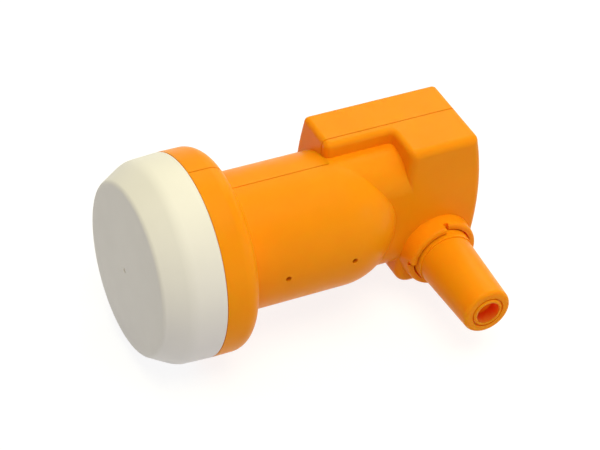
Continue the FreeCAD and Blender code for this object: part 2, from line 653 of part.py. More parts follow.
def feed_casting():
    """Die casting of horn, waveguide, board tray and connector boss."""
    half = TRAY_HALF_WIDTH
    floor_y = BOARD_Y - TRAY_FLOOR
    boss_r = CONNECTOR_SPIGOT_RADIUS + CONNECTOR_BOSS_WALL
    tray = block((TRAY_FRONT, floor_y, -half), (TRAY_REAR, TRAY_TOP, half))
    connector_boss = outlet_rod(FLANGE_REAR, boss_r, BOARD_Y - FLANGE_REAR)
    probe_block = rod((PROBE_X, 0, 0), Z_AXIS, PROBE_BLOCK, PROBE_ENTRY_END)
    ribs = []
    rib_r = INNER_NECK - RIB_CLEARANCE
    for middle in (-RIB_SPACING / 2, RIB_SPACING / 2):
        ribs.append(rod((middle - RIB_LENGTH / 2, 0, 0), X_AXIS, rib_r, RIB_LENGTH))
    body = fused(horn_and_guide(), tray, connector_boss, probe_block, *ribs)

    inside_low = (TRAY_FRONT + TRAY_WALL, BOARD_Y, TRAY_WALL - half)
    inside = block(inside_low, (TRAY_REAR - TRAY_WALL, TRAY_TOP, half - TRAY_WALL))
    bosses = [rod((x, BOARD_Y, z), Y_AXIS, SCREW_BOSS_RADIUS, TRAY_DEPTH) for x, z in screw_places()]
    body = body.cut(inside.cut(fused(*bosses)))

    cuts = [rod((GUIDE_MOUTH, 0, 0), X_AXIS, GUIDE_RADIUS, GUIDE_END - GUIDE_MOUTH)]
    cuts.append(outlet_rod(FLANGE_REAR, CONNECTOR_SPIGOT_RADIUS, CONNECTOR_SPIGOT))
    cuts.append(outlet_rod(FLANGE_REAR, CONTACT_RADIUS + CONTACT_HOLE_CLEARANCE, FAR))
    cuts.append(rod((PROBE_X, 0, 0), Y_AXIS, PROBE_SLEEVE_RADIUS, BOARD_Y))
    cuts.append(rod((PROBE_X, 0, BENT_PROBE_OFFSET), Y_AXIS, PROBE_SLEEVE_RADIUS, BOARD_Y))
    cuts.append(rod((PROBE_X, 0, 0), Z_AXIS, PROBE_SLEEVE_RADIUS, PROBE_ENTRY_END))
    hole_y = LID_TOP - SCREW_LENGTH
    for x, z in screw_places():
        cuts.append(rod((x, hole_y, z), Y_AXIS, SCREW_RADIUS, SCREW_LENGTH))
    for cut in cuts:
        body = body.cut(cut)
    return body.removeSplitter()


# Board
def circuit_board():
    inset = TRAY_WALL + BOARD_CLEARANCE
    half = TRAY_HALF_WIDTH - inset
    board = block((TRAY_FRONT + inset, BOARD_Y, -half), (TRAY_REAR - inset, BOARD_TOP, half))
    for x, z in screw_places():
        board = board.cut(rod((x, BOARD_Y, z), Y_AXIS, SCREW_BOSS_RADIUS + BOARD_CLEARANCE, BOARD_THICKNESS))
    holes = ((PROBE_X, 0.0, PROBE_RADIUS), (PROBE_X, BENT_PROBE_OFFSET, PROBE_RADIUS))
    holes += ((OUTLET_X, OUTLET_Z, CONTACT_RADIUS),)
    for x, z, radius in holes:
        board = board.cut(rod((x, BOARD_Y, z), Y_AXIS, radius + PIN_HOLE_CLEARANCE, BOARD_THICKNESS))
    return board


def straight_probe():
    return rod((PROBE_X, PROBE_TIP, 0), Y_AXIS, PROBE_RADIUS, PIN_TOP - PROBE_TIP)


def bent_probe():
    """Pin that goes down beside the waveguide and turns in through its side."""
    bend = BENT_PROBE_BEND
    corner = BENT_PROBE_OFFSET
    top = FreeCAD.Vector(PROBE_X, PIN_TOP, corner)
    before = FreeCAD.Vector(PROBE_X, bend, corner)
    via_z, via_y = on_circle(corner - bend, bend, bend, 315)
    via = FreeCAD.Vector(PROBE_X, via_y, via_z)
    after = FreeCAD.Vector(PROBE_X, 0, corner - bend)
    tip = FreeCAD.Vector(PROBE_X, 0, PROBE_TIP)
    path = Part.Wire([
        Part.LineSegment(top, before).toShape(),
        Part.Arc(before, via, after).toShape(),
        Part.LineSegment(after, tip).toShape(),
    ])
    section = Part.Wire(Part.makeCircle(PROBE_RADIUS, top, Y_AXIS))
    return path.makePipeShell([section], True, False)


def probe_sleeve(start, axis, length):
    """Insulating sleeve round a probe where it passes through metal."""
    outer = rod(start, axis, PROBE_SLEEVE_RADIUS, length)
    return outer.cut(rod(start, axis, PROBE_RADIUS, length))


def chip(x, z, length, width, height):
    """Plain component body on the board."""
    low = (x - length / 2, BOARD_TOP, z - width / 2)
    return block(low, (x + length / 2, BOARD_TOP + height, z + width / 2))


def transistor(x, z):
    """Low-noise transistor: round ceramic lid on a square body with two flat leads."""
    body = chip(x, z, TRANSISTOR_BODY, TRANSISTOR_BODY, TRANSISTOR_HEIGHT)
    leads = chip(x, z, TRANSISTOR_LEAD_SPAN, TRANSISTOR_LEAD_WIDTH, TRANSISTOR_LEAD)
    lid = rod((x, BOARD_TOP, z), Y_AXIS, TRANSISTOR_LID_RADIUS, TRANSISTOR_LID_HEIGHT)
    return fused(body, leads, lid)


def converter_chip(x, z):
    """Mixer and oscillator chip with a notch at its first pin."""
    body = chip(x, z, CONVERTER_SIZE, CONVERTER_SIZE, CONVERTER_HEIGHT)
    corner = (x - CONVERTER_SIZE / 2, BOARD_TOP, z - CONVERTER_SIZE / 2)
    return body.cut(rod(corner, Y_AXIS, CONVERTER_CORNER, CONVERTER_HEIGHT))


def crystal(x, z):
    """Reference crystal: metal can on a ceramic base."""
    base = chip(x, z, CRYSTAL_LENGTH, CRYSTAL_WIDTH, CRYSTAL_BASE)
    can_length = CRYSTAL_LENGTH - 2 * CRYSTAL_CAN_INSET
    can_width = CRYSTAL_WIDTH - 2 * CRYSTAL_CAN_INSET
    return fused(base, chip(x, z, can_length, can_width, CRYSTAL_HEIGHT))


def regulator(x, z):
    """Voltage regulator with a tab on one side and three leads on the other."""
    body = chip(x, z, REGULATOR_LENGTH, REGULATOR_WIDTH, REGULATOR_HEIGHT)
    tab_z = z + (REGULATOR_WIDTH + REGULATOR_TAB_REACH) / 2
    lead_z = z - (REGULATOR_WIDTH + REGULATOR_LEAD_REACH) / 2
    pieces = [chip(x, tab_z, REGULATOR_TAB_LENGTH, REGULATOR_TAB_REACH, REGULATOR_TAB)]
    for step in (-1, 0, 1):
        lead_x = x + step * REGULATOR_LEAD_PITCH
        pieces.append(chip(lead_x, lead_z, REGULATOR_LEAD_WIDTH, REGULATOR_LEAD_REACH, REGULATOR_LEAD))
    return fused(body, *pieces)


def inductor(x, z):
    """Wound chip inductor with a waist between its end plates."""
    winding_width = INDUCTOR_WIDTH - 2 * INDUCTOR_WAIST
    winding = chip(x, z, INDUCTOR_LENGTH, winding_width, INDUCTOR_HEIGHT - INDUCTOR_WAIST)
    end_x = (INDUCTOR_LENGTH - INDUCTOR_END) / 2
    ends = [chip(x + side * end_x, z, INDUCTOR_END, INDUCTOR_WIDTH, INDUCTOR_HEIGHT) for side in (-1, 1)]
    return fused(winding, *ends)


def capacitor_row(x, z, count):
    """Row of small chip capacitors."""
    row = []
    for index in range(count):
        place = x + index * CAPACITOR_PITCH
        row.append(chip(place, z, CAPACITOR_LENGTH, CAPACITOR_WIDTH, CAPACITOR_HEIGHT))
    return Part.makeCompound(row)


# Lid
def tray_frame(inset, low, high):
    half = TRAY_HALF_WIDTH - inset
    return block((TRAY_FRONT + inset, low, -half), (TRAY_REAR - inset, high, half))


def lid_gasket():
    return tray_frame(0.0, TRAY_TOP, LID_Y).cut(tray_frame(TRAY_WALL, TRAY_TOP, LID_Y))


def screen_lid():
    """Lid with screening ribs and countersunk screw holes."""
    lid = tray_frame(0.0, LID_Y, LID_TOP)
    rib_y = BOARD_TOP + LID_RIB_CLEARANCE
    across_low = (CROSS_RIB_X, rib_y, -CROSS_RIB_LENGTH)
    across = block(across_low, (CROSS_RIB_X + LID_RIB, LID_Y, 0.0))
    along_low = (PROBE_X + LONG_RIB_PLACE, rib_y, LONG_RIB_SIDE)
    along = block(along_low, (CROSS_RIB_X, LID_Y, LONG_RIB_SIDE + LID_RIB))
    lid = fused(lid, across, along)
    for x, z in screw_places():
        lid = lid.cut(screw(x, z))
    return lid


def screw(x, z):
    """Countersunk screw, head flush with the lid."""
    foot = FreeCAD.Vector(x, LID_TOP - SCREW_HEAD, z)
    head = Part.makeCone(SCREW_RADIUS, SCREW_HEAD_RADIUS, SCREW_HEAD, foot, Y_AXIS)
    shank = rod((x, LID_TOP - SCREW_LENGTH, z), Y_AXIS, SCREW_RADIUS, SCREW_LENGTH - SCREW_HEAD)
    return fused(head, shank)


def lid_screws():
    """Screws with a driver slot."""
    solids = []
    for x, z in screw_places():
        slot_low = (x - SCREW_HEAD_RADIUS, LID_TOP - SCREW_HEAD / 2, z - SCREW_RADIUS / 4)
        slot = block(slot_low, (x + SCREW_HEAD_RADIUS, LID_TOP, z + SCREW_RADIUS / 4))
        solids.append(screw(x, z).cut(slot))
    return Part.makeCompound(solids)


def absorber_pad():
    """Microwave absorber glued under the lid, behind the screening rib."""
    start = CROSS_RIB_X + LID_RIB + ABSORBER_GAP
    low = (start, LID_Y - ABSORBER_THICKNESS, -ABSORBER_WIDTH / 2)
    return block(low, (low[0] + ABSORBER_LENGTH, LID_Y, ABSORBER_WIDTH / 2))


# Outlet
def connector_body():
    """F connector: threaded barrel, shank through the wall, flange and spigot."""
    return turned_on_outlet(
        (CONNECTOR_BORE, THREAD_END),
        (THREAD_RADIUS - THREAD_CHAMFER, THREAD_END),
        (THREAD_RADIUS, THREAD_END + THREAD_CHAMFER),
        (THREAD_RADIUS, OUTLET_FACE),
        (CONNECTOR_SHANK_RADIUS, OUTLET_FACE),
        (CONNECTOR_SHANK_RADIUS, FLANGE_FRONT),
        (CONNECTOR_FLANGE_RADIUS, FLANGE_FRONT),
        (CONNECTOR_FLANGE_RADIUS, FLANGE_REAR),
        (CONNECTOR_SPIGOT_RADIUS, FLANGE_REAR),
        (CONNECTOR_SPIGOT_RADIUS, SPIGOT_END),
        (CONNECTOR_BORE, SPIGOT_END),
    )


def connector_insulator():
    start = THREAD_END + CONTACT_RECESS
    length = SPIGOT_END - start
    return outlet_rod(start, CONNECTOR_BORE, length).cut(outlet_rod(start, CONTACT_RADIUS, length))


def connector_contact():
    start = THREAD_END + CONTACT_RECESS
    pin = outlet_rod(start, CONTACT_RADIUS, PIN_TOP - start)
    return pin.cut(outlet_rod(start, CONTACT_SOCKET_RADIUS, CONTACT_SOCKET_DEPTH))


def connector_seal():
    section = CONNECTOR_SEAL_SECTION / 2 - SEAL_PLAY
    middle = CONNECTOR_SHANK_RADIUS + CONNECTOR_HOLE_CLEARANCE + CONNECTOR_SEAL_SECTION / 2
    place = FreeCAD.Vector(OUTLET_X, FLANGE_FRONT - CONNECTOR_SEAL_SECTION / 2, OUTLET_Z)
    return Part.makeTorus(middle, section, place, Y_AXIS)


def weather_boot():
    """Tapered boot over the connector, with a lipped hole for the cable."""
    seat = OUTLET_FACE - BOOT_SEAT
    flange_end = OUTLET_FACE - BOOT_FLANGE_END
    tip = OUTLET_FACE - BOOT_LENGTH
    soft = BOOT_TIP_ROUND
    inner_tip = tip + BOOT_TIP_WALL
    return turned_on_outlet(
        (BOOT_BASE_RADIUS - BOOT_WALL, seat),
        (BOOT_FLANGE_RADIUS, seat),
        (BOOT_FLANGE_RADIUS - BOOT_FLANGE_TAPER, flange_end),
        (BOOT_BASE_RADIUS, flange_end),
        (BOOT_TIP_RADIUS, tip + soft),
        (on_circle(BOOT_TIP_RADIUS - soft, tip + soft, soft, 315), (BOOT_TIP_RADIUS - soft, tip)),
        (LIP_GROOVE_RADIUS, tip),
        (LIP_GROOVE_RADIUS, tip + LIP_GROOVE_DEPTH),
        (LIP_RADIUS, tip + LIP_GROOVE_DEPTH),
        (LIP_RADIUS, tip),
        (LIP_RADIUS - LIP_RISE, tip - LIP_RISE),
        (CABLE_HOLE_RADIUS, tip - LIP_RISE),
        (CABLE_HOLE_RADIUS, inner_tip),
        (BOOT_TIP_RADIUS - BOOT_WALL, inner_tip + BOOT_WALL),
    )


def board_nodes():
    """Probes, their sleeves and the components of the board."""
    first_x = PROBE_X + FIRST_STAGE_PLACE
    bent_z = BENT_PROBE_OFFSET - BENT_STAGE_SHIFT
    top_sleeve = (PROBE_X, GUIDE_RADIUS, 0)
    entry_sleeve = (PROBE_X, 0, GUIDE_RADIUS)
    floor_sleeve = (PROBE_X, BOARD_Y - TRAY_FLOOR, BENT_PROBE_OFFSET)
    output_x = CROSS_RIB_X + OUTPUT_CAPACITOR_PLACE
    bias_x = PROBE_X + BIAS_CAPACITOR_PLACE
    return {
        "circuit_board": circuit_board(),
        "straight_probe": straight_probe(),
        "bent_probe": bent_probe(),
        "straight_probe_sleeve": probe_sleeve(top_sleeve, Y_AXIS, GUIDE_COVER),
        "bent_probe_entry_sleeve": probe_sleeve(entry_sleeve, Z_AXIS, PROBE_ENTRY_END - GUIDE_RADIUS),
        "bent_probe_floor_sleeve": probe_sleeve(floor_sleeve, Y_AXIS, TRAY_FLOOR),
        "straight_probe_transistor": transistor(first_x, 0.0),
        "bent_probe_transistor": transistor(first_x, bent_z),
        "second_stage_transistor": transistor(PROBE_X + SECOND_STAGE_PLACE, SECOND_STAGE_SIDE),
        "converter_chip": converter_chip(CROSS_RIB_X + CONVERTER_PLACE, CONVERTER_SIDE),
        "reference_crystal": crystal(CROSS_RIB_X + CRYSTAL_PLACE, CRYSTAL_SIDE),
        "voltage_regulator": regulator(CROSS_RIB_X + REGULATOR_PLACE, REGULATOR_SIDE),
        "supply_inductor": inductor(OUTLET_X - INDUCTOR_FROM_CONTACT, OUTLET_Z),
        "output_capacitors": capacitor_row(output_x, OUTPUT_CAPACITOR_SIDE, OUTPUT_CAPACITORS),
        "bias_capacitors": capacitor_row(bias_x, BIAS_CAPACITOR_SIDE, BIAS_CAPACITORS),
    }


def all_nodes():
    """Every piece by the name of its node."""
    connector_half, cover_half = housing_halves()
    pieces = {
        "feed_cap": feed_cap(),
        "cap_seal": cap_seal(),
        "housing_connector_half": connector_half,
        "housing_cover_half": cover_half,
        "feed_casting": feed_casting(),
        "lid_gasket": lid_gasket(),
        "screen_lid": screen_lid(),
        "lid_screws": lid_screws(),
        "absorber_pad": absorber_pad(),
        "connector_body": connector_body(),
        "connector_insulator": connector_insulator(),
        "connector_contact": connector_contact(),
        "connector_seal": connector_seal(),
        "weather_boot": weather_boot(),
    }
    pieces.update(board_nodes())
    return pieces


if __name__ == "__main__":
    os.makedirs("parts", exist_ok=True)
    for name, shape in all_nodes().items():
        shape.exportStep(f"parts/{name}.step")
        print(name, len(shape.Solids), shape.isValid(), round(shape.Volume, 1))
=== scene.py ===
"""Satellite LNB in plain studio light: finishes, a crisp cap, a threaded connector, floor, lamps and camera.

Metres throughout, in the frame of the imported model: +X back along the feed axis, outlet along -Y, +Z up.
"""
import bmesh
import bpy
import json
import math
from mathutils import Matrix, Vector


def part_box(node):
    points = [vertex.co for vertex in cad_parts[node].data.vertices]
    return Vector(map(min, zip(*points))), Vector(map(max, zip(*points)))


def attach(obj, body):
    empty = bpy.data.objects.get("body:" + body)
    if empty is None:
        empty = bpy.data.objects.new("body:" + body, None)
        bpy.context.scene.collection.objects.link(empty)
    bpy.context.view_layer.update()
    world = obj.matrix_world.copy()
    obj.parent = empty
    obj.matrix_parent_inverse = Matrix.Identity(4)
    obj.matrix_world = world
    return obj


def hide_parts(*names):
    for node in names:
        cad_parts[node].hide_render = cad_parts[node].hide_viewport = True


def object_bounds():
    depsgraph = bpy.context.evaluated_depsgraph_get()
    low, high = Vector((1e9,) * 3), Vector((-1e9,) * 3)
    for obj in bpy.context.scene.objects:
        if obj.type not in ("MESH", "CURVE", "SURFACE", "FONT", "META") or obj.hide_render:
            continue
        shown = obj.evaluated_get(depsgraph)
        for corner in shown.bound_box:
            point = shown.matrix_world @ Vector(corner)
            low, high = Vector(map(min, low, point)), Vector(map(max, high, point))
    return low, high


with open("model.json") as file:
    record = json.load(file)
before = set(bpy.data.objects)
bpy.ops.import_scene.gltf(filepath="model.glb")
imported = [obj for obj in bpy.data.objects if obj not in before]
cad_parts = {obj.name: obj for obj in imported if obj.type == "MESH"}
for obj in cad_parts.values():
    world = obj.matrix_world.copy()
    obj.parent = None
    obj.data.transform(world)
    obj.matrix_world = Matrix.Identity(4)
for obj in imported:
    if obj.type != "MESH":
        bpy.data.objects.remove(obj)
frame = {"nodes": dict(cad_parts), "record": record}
cad_low, cad_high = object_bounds()

MM = 0.001

# Camera, at the photograph's viewing angle
IMAGE_WIDTH = 600
FOCAL_PIXELS = 2473.6
SENSOR_WIDTH = 36.0               # millimetres, as the camera's lens is
CAMERA_AZIMUTH = -29.86           # degrees
CAMERA_ELEVATION = 40.03
CAMERA_ROLL = 5.49
CAMERA_DISTANCE = 701.7 * MM
CAMERA_TARGET = Vector((7.77, 0.0, -0.32)) * MM
CAMERA_NEAREST = 0.05
CAMERA_FARTHEST = 20.0

# Lamps. Direction: shares of up, to the camera's right, and away from the camera on the level.
# Level: a diffuse white surface that faces the lamp takes up this share of full white.
WARM = (1.0, 1.0, 0.70)
COOL = (1.0, 1.0, 2.0)
WHITE = (1.0, 1.0, 1.0)
LAMPS = {
    "key": {"direction": (1.0, 0.1, -0.2), "distance": 1.1, "size": 0.8, "level": 0.75, "tint": WARM},
    "back": {"direction": (0.66, 0.2, 0.75), "distance": 1.2, "size": 0.7, "level": 0.30, "tint": WARM},
    "fill": {"direction": (0.1, 0.77, -0.64), "distance": 1.3, "size": 0.9, "level": 0.05, "tint": COOL},
    "side": {"direction": (0.36, 0.93, -0.12), "distance": 1.0, "size": 0.22, "level": 0.08, "tint": WHITE},
}
WORLD_LEVEL = 0.31
WORLD_TINT = (1.0, 0.92, 0.87)

# Floor, as the camera and reflections see it: a white glow with the shadow of the object on it
FLOOR_SIZE = 6.0
FLOOR_GLOW = 0.84
FLOOR_SHADED = 0.24

# Floor, as it lights the object
FLOOR_BOUNCE = 0.45
FLOOR_LIFT = 0.28                 # light that the floor itself gives, as a lit table does
FLOOR_TINT = (0.90, 0.95, 1.16)

# Noise in the finishes
NOISE_RANGE = (0.3, 0.7)          # most of what a noise texture gives lies in it
GRAIN_DETAIL = 2.0
CLOUD_DETAIL = 3.0
GLOSS_CLOUD = 0.2                 # size of the patches of gloss, as a share of the patches of tone
SPECKLE_SHARE = 0.5               # strength of the speckle, as a share of the changes of tone
SPECKLE_SHADE = 0.5               # colour of the speckle, as a share of the surface's

# Plastics that show
ORANGE = (0.96, 0.30, 0.004)
ORANGE_SPECULAR = 0.06
CREAM = (0.82, 0.785, 0.74)
CREAM_SPECULAR = 0.25

# Light inside the orange plastic: the share that enters it and how deep it gets
HOUSING_GLOW = 0.35
HOUSING_GLOW_DEPTH = 3.0 * MM
BOOT_GLOW = 0.45
BOOT_GLOW_DEPTH = 4.0 * MM
GLOW_REACH = (1.0, 0.22, 0.04)    # of red, green and blue light, as shares of the depth

# Insides of the boot and of the outlet's collar, painted red for the light that comes through their walls,
# with deep subsurface glow
INSIDE_PAINTED_GLOW_RED = (1.0, 0.16, 0.02)
INSIDE_GLOW = 1.0
INSIDE_GLOW_DEPTH = 40.0 * MM
BOOT_HOLE_EDGE = 0.05 * MM        # how far past the cable hole's wall still counts as inside
BOOT_HOLLOW_RADIUS = 7.1 * MM
COLLAR_HOLLOW_RADIUS = 9.33 * MM
COLLAR_LIMIT = -9.0 * MM          # Y within the housing's wall, behind the collar's floor

# Meshes made here: edges turned by more than this many degrees stay sharp
SHARP_ANGLE = 35.0

# Cap, with the crisp edge round its face
CAP_DEPTH = 17.8 * MM             # rim to the middle of the face
CAP_FACE_RISE = 0.6 * MM
CAP_FACE_RADIUS = 24.9 * MM
CAP_FACE_ROUND = 1.9 * MM
CAP_BAND = 9.6 * MM
CAP_BAND_DRAFT = 0.4 * MM
CAP_BAND_ROUND = 8.0 * MM
CAP_RIM_ROUND = 0.5 * MM
CAP_WALL = 1.6 * MM
CAP_LEDGE = 3.0 * MM
CAP_SLEEVE_INSET = 2.2 * MM       # sleeve's outside, in from the rim's edge
CAP_SLEEVE_WALL = 1.5 * MM
CAP_GATE_RADIUS = 0.7 * MM
CAP_GATE_DEPTH = 0.3 * MM
CAP_TURN_STEPS = 160
CAP_ARC_STEPS = 8
CAP_DOME_STEPS = 8

# F connector, with its 3/8-32 thread
THREAD_PITCH = 25.4 / 32 * MM
THREAD_DEPTH = 0.45 * MM
THREAD_TURN_STEPS = 96
THREAD_PITCH_STEPS = 10
THREAD_CHAMFER = 0.5 * MM
# painted shade for the roots of the thread
THREAD_ROOT_PAINTED_SHADE = (0.06, 0.058, 0.055)
SHANK_RADIUS = 5.3 * MM
FLANGE_THICKNESS = 2.0 * MM
SPIGOT_RADIUS = 5.0 * MM
SPIGOT_LENGTH = 7.0 * MM


def named_mount(name):
    return next(mount for mount in frame["record"]["mounts"] if mount["name"] == name)


# Node helpers
def is_socket(value):
    return isinstance(value, bpy.types.NodeSocket)


def feed(tree, socket, value):
    """Links another socket to this one, or sets its value."""
    if is_socket(value):
        tree.links.new(value, socket)
    else:
        socket.default_value = value


def place_in_frame(tree):
    """Place on the object in metres, the same at every pose."""
    return tree.nodes.new("ShaderNodeTexCoord").outputs["Object"]


def calculate(tree, operation, first, second):
    """Result of a math operation on sockets or numbers."""
    node = tree.nodes.new("ShaderNodeMath")
    node.operation = operation
    feed(tree, node.inputs[0], first)
    feed(tree, node.inputs[1], second)
    return node.outputs["Value"]


def calculate_vector(tree, operation, *values):
    """Node of a vector operation on sockets or plain vectors."""
    node = tree.nodes.new("ShaderNodeVectorMath")
    node.operation = operation
    for socket, value in zip(node.inputs, values):
        feed(tree, socket, value)
    return node


def map_range(tree, value, source, target):
    """Value taken from one range of numbers to another, and kept within it."""
    node = tree.nodes.new("ShaderNodeMapRange")
    node.inputs["From Min"].default_value = source[0]
    node.inputs["From Max"].default_value = source[1]
    node.inputs["To Min"].default_value = target[0]
    node.inputs["To Max"].default_value = target[1]
    tree.links.new(value, node.inputs["Value"])
    return node.outputs["Result"]


def between(tree, share, low, high):
    """Low where share is 0, high where it is 1."""
    return map_range(tree, share, (0.0, 1.0), (low, high))


def blend_colours(tree, share, first, second):
    """First colour where share is 0, second where it is 1. Each is a colour or another socket."""
    node = tree.nodes.new("ShaderNodeMix")
    node.data_type = "RGBA"
    tree.links.new(share, node.inputs["Factor"])
    for key, colour in (("A", first), ("B", second)):
        socket = next(s for s in node.inputs if s.name == key and s.type == "RGBA")
        feed(tree, socket, colour if is_socket(colour) else (*colour, 1.0))
    return next(s for s in node.outputs if s.type == "RGBA")


def noise(tree, grain, detail=GRAIN_DETAIL):
    """Noise from 0 to 1 whose features are about as wide as grain."""
    node = tree.nodes.new("ShaderNodeTexNoise")
    node.inputs["Scale"].default_value = 1.0 / grain
    node.inputs["Detail"].default_value = detail
    tree.links.new(place_in_frame(tree), node.inputs["Vector"])
    return node.outputs["Fac"]


def bump(tree, shader, height, depth):
    """Surface relief, depth metres high."""
    node = tree.nodes.new("ShaderNodeBump")
    node.inputs["Strength"].default_value = 1.0
    node.inputs["Distance"].default_value = depth
    tree.links.new(height, node.inputs["Height"])
    tree.links.new(node.outputs["Normal"], shader.inputs["Normal"])


# Material helpers
def new_material(name):
    """Material with one principled shader on its output."""
    material = bpy.data.materials.new(name)
    material.use_nodes = True
    tree = material.node_tree
    tree.nodes.clear()
    output = tree.nodes.new("ShaderNodeOutputMaterial")
    shader = tree.nodes.new("ShaderNodeBsdfPrincipled")
    tree.links.new(shader.outputs["BSDF"], output.inputs["Surface"])
    return material, tree, shader


def scaled(colour, factor):
    return tuple(channel * factor for channel in colour)


def finish(name, colour, tone=0.06, rough=(0.4, 0.5), cloud=18 * MM, grain=0.35 * MM,
           relief=0.01 * MM, metal=0.0):
    """Surface with slow tone changes, fine grain in colour and relief, and uneven gloss."""
    material, tree, shader = new_material(name)
    slow = map_range(tree, noise(tree, cloud, CLOUD_DETAIL), NOISE_RANGE, (0.0, 1.0))
    fine = noise(tree, grain)
    tones = blend_colours(tree, slow, scaled(colour, 1.0 - tone), scaled(colour, 1.0 + tone))
    speckle = map_range(tree, fine, NOISE_RANGE, (0.0, SPECKLE_SHARE * tone))
    speckled = blend_colours(tree, speckle, tones, scaled(colour, SPECKLE_SHADE))
    tree.links.new(speckled, shader.inputs["Base Color"])
    gloss = map_range(tree, noise(tree, GLOSS_CLOUD * cloud), NOISE_RANGE, rough)
    tree.links.new(gloss, shader.inputs["Roughness"])
    shader.inputs["Metallic"].default_value = metal
    bump(tree, shader, fine, relief)
    return material, tree, shader


def outlet_place(tree):
    """Distance from the outlet's axis, and Y along it."""
    place = place_in_frame(tree)
    from_axis = calculate_vector(tree, "SUBTRACT", place, named_mount("cable_hole")["pos_m"])
    across = calculate_vector(tree, "MULTIPLY", from_axis.outputs["Vector"], (1.0, 0.0, 1.0))
    radius = calculate_vector(tree, "LENGTH", across.outputs["Vector"])
    along = tree.nodes.new("ShaderNodeSeparateXYZ")
    tree.links.new(place, along.inputs["Vector"])
    return radius.outputs["Value"], along.outputs["Y"]


def inside_collar(tree):
    """1 on the inside of the outlet's collar, where the painted red glow goes, 0 on the rest of the housing.
    """
    radius, along = outlet_place(tree)
    in_hollow = calculate(tree, "LESS_THAN", radius, COLLAR_HOLLOW_RADIUS)
    before_wall = calculate(tree, "LESS_THAN", along, COLLAR_LIMIT)
    return calculate(tree, "MULTIPLY", in_hollow, before_wall)


def inside_boot(tree):
    """1 on the walls of the boot's cable hole and of its hollow, where the painted red glow goes, 0 on its
    outside.
    """
    hole = named_mount("cable_hole")
    hole_radius = hole["dims"]["r_mm"] * MM
    hole_end = hole["pos_m"][1] + hole["dims"]["length_mm"] * MM / 2
    radius, along = outlet_place(tree)
    in_hole = calculate(tree, "LESS_THAN", radius, hole_radius + BOOT_HOLE_EDGE)
    past_hole = calculate(tree, "GREATER_THAN", along, hole_end - BOOT_HOLE_EDGE)
    near_axis = calculate(tree, "LESS_THAN", radius, BOOT_HOLLOW_RADIUS)
    in_hollow = calculate(tree, "MULTIPLY", past_hole, near_axis)
    return calculate(tree, "MAXIMUM", in_hole, in_hollow)


def moulded_orange(name, glow, depth, find_inside):
    """Orange plastic that light enters, with an inside painted red for the light coming through the wall."""
    material, tree, shader = finish(name, ORANGE, tone=0.03, rough=(0.30, 0.40), relief=0.006 * MM)
    shader.inputs["Specular IOR Level"].default_value = ORANGE_SPECULAR
    shader.inputs["Subsurface Radius"].default_value = GLOW_REACH
    inside = find_inside(tree)
    outside_colour = shader.inputs["Base Color"].links[0].from_socket
    # The inside is painted red, a painted glow for the light coming through the wall.
    tree.links.new(blend_colours(tree, inside, outside_colour, INSIDE_PAINTED_GLOW_RED), shader.inputs["Base Color"])
    tree.links.new(between(tree, inside, glow, INSIDE_GLOW), shader.inputs["Subsurface Weight"])
    tree.links.new(between(tree, inside, depth, INSIDE_GLOW_DEPTH), shader.inputs["Subsurface Scale"])
    return material


# One finish for each material slot of the record
def cap_plastic():
    """Cream plastic with a soft satin surface."""
    material, tree, shader = finish("cap_plastic", CREAM, tone=0.02, rough=(0.46, 0.56), relief=0.006 * MM)
    shader.inputs["Specular IOR Level"].default_value = CREAM_SPECULAR
    return material


def housing_plastic():
    return moulded_orange("housing_plastic", HOUSING_GLOW, HOUSING_GLOW_DEPTH, inside_collar)


def boot_plastic():
    return moulded_orange("boot_plastic", BOOT_GLOW, BOOT_GLOW_DEPTH, inside_boot)


def seal_rubber():
    return finish("seal_rubber", (0.03, 0.03, 0.03), tone=0.2, rough=(0.65, 0.8), cloud=4 * MM)[0]


def absorber():
    return finish("absorber", (0.06, 0.06, 0.065), tone=0.3, rough=(0.8, 0.95), cloud=2 * MM,
                  relief=0.05 * MM)[0]


def casting():
    return finish("casting", (0.62, 0.63, 0.64), tone=0.10, rough=(0.38, 0.58), cloud=9 * MM,
                  grain=0.6 * MM, relief=0.03 * MM, metal=1.0)[0]


def screw_steel():
    return finish("screw_steel", (0.55, 0.55, 0.57), tone=0.08, rough=(0.25, 0.4), cloud=2 * MM,
                  relief=0.004 * MM, metal=1.0)[0]


def board():
    return finish("board", (0.03, 0.20, 0.08), tone=0.15, rough=(0.3, 0.4), cloud=5 * MM)[0]


def contact_brass():
    return finish("contact_brass", (0.75, 0.56, 0.24), tone=0.08, rough=(0.2, 0.35), cloud=2 * MM,
                  relief=0.003 * MM, metal=1.0)[0]


def insulation():
    return finish("insulation", (0.86, 0.86, 0.84), tone=0.03, rough=(0.4, 0.5), cloud=3 * MM)[0]


def ceramic():
    return finish("ceramic", (0.62, 0.56, 0.46), tone=0.08, rough=(0.5, 0.65), cloud=1 * MM,
                  grain=0.1 * MM)[0]


def chip_plastic():
    return finish("chip_plastic", (0.025, 0.025, 0.028), tone=0.2, rough=(0.45, 0.6), cloud=1 * MM,
                  grain=0.1 * MM)[0]


def can_steel():
    return finish("can_steel", (0.66, 0.66, 0.67), tone=0.05, rough=(0.22, 0.34), cloud=1 * MM,
                  grain=0.1 * MM, relief=0.002 * MM, metal=1.0)[0]


